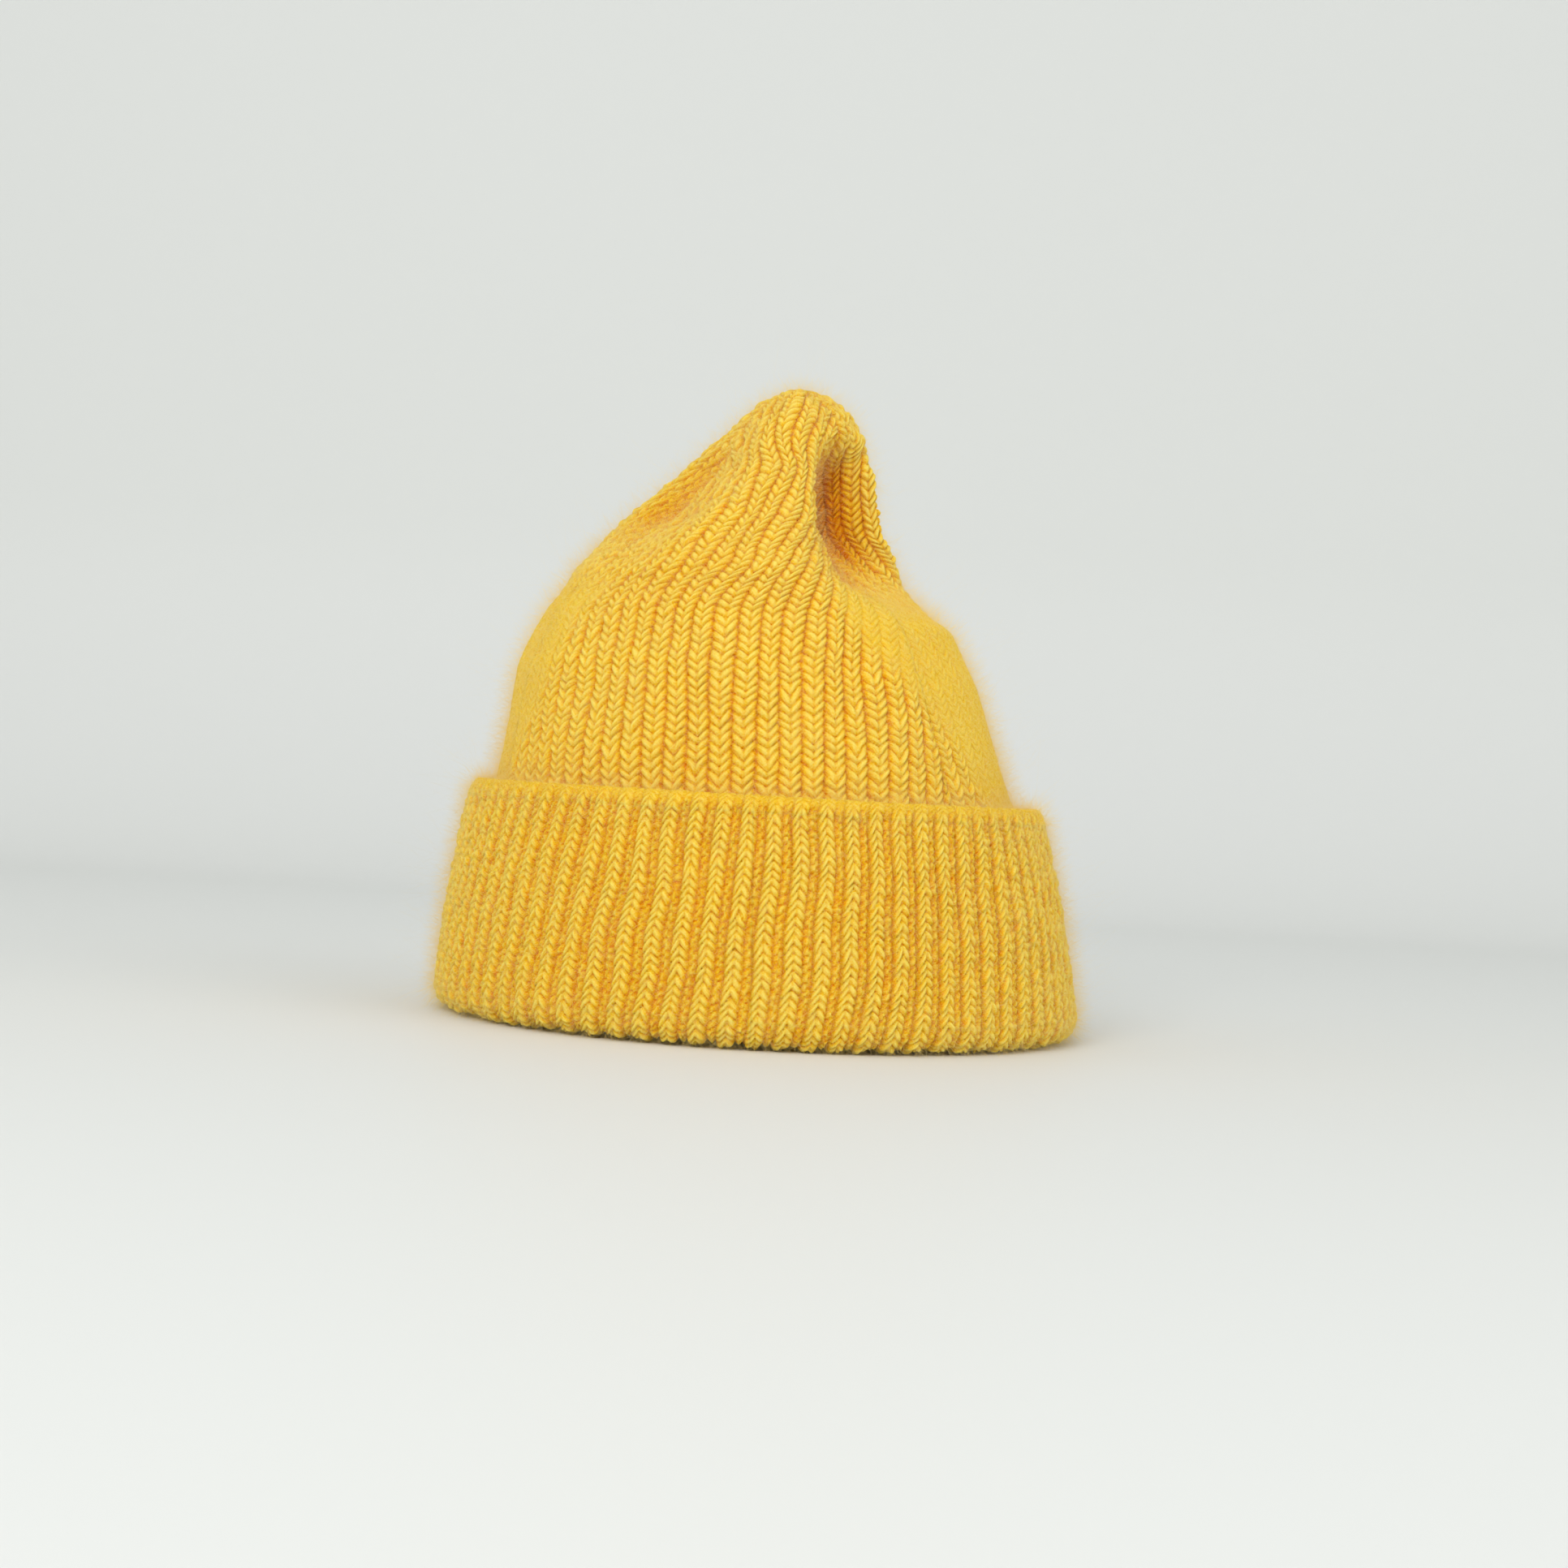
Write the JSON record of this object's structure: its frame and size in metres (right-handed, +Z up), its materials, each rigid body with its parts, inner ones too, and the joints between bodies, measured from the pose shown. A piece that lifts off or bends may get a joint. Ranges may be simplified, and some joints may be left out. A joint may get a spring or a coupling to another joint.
{
  "type": "knit beanie",
  "caption": "Slouchy ribbed wool beanie with a deep turned-up cuff and a soft pinched peak, standing on its brim.",
  "frame": {"origin": "centre of the brim's outer circle, on the plane that the brim rests on", "axes": "+Z up out of the crown, -Y towards the front, +X to the right seen from the front"},
  "size_m": [0.205, 0.205, 0.2045],
  "materials": {
    "rib_knit": "brushed 1x1 rib knit, matte with a soft halo",
    "yarn": "plied wool yarn, matte",
    "woven_label": "satin woven tape, blank",
    "sewing_thread": "spun thread, matte"
  },
  "bodies": {
    "brim": {"fold_edge": "rib_knit", "inner_band": "rib_knit", "turn_up_cuff": "rib_knit"},
    "cuff_edge": {"cast_on_edge": "rib_knit"},
    "crown": {"crown_front": "rib_knit", "crown_right": "rib_knit", "crown_back": "rib_knit", "crown_left": "rib_knit", "peak_fold": "rib_knit", "back_seam": "rib_knit"},
    "peak": {"peak_tip": "rib_knit", "gather_yarn": "yarn", "yarn_tail": "yarn"},
    "label_flap": {"label": "woven_label", "label_stitches": "sewing_thread"}
  },
  "joints": [
    {"name": "cuff_let_down", "type": "slide", "parent": "brim", "child": "crown", "axis": [0, 0, 1], "range_m": [0, 0.052], "deforming": ["inner_band"]},
    {"name": "cast_on_edge_drop", "type": "slide", "parent": "brim", "child": "cuff_edge", "axis": [0, 0, 1], "range_m": [-0.052, 0], "deforming": ["turn_up_cuff"]},
    {"name": "peak_flop", "type": "hinge", "parent": "crown", "child": "peak", "pos_m": [0, 0, 0.163], "axis": [0, 1, 0], "range_deg": [-55, 45], "deforming": ["peak_fold"]},
    {"name": "label_swing", "type": "hinge", "parent": "crown", "child": "label_flap", "pos_m": [-0.0072, 0.06245, 0.1098], "axis": [1, 0, 0], "range_deg": [-75, 15]}
  ],
  "couplings": [
    {"joint": "cast_on_edge_drop", "follows": "cuff_let_down", "ratio": -1}
  ]
}
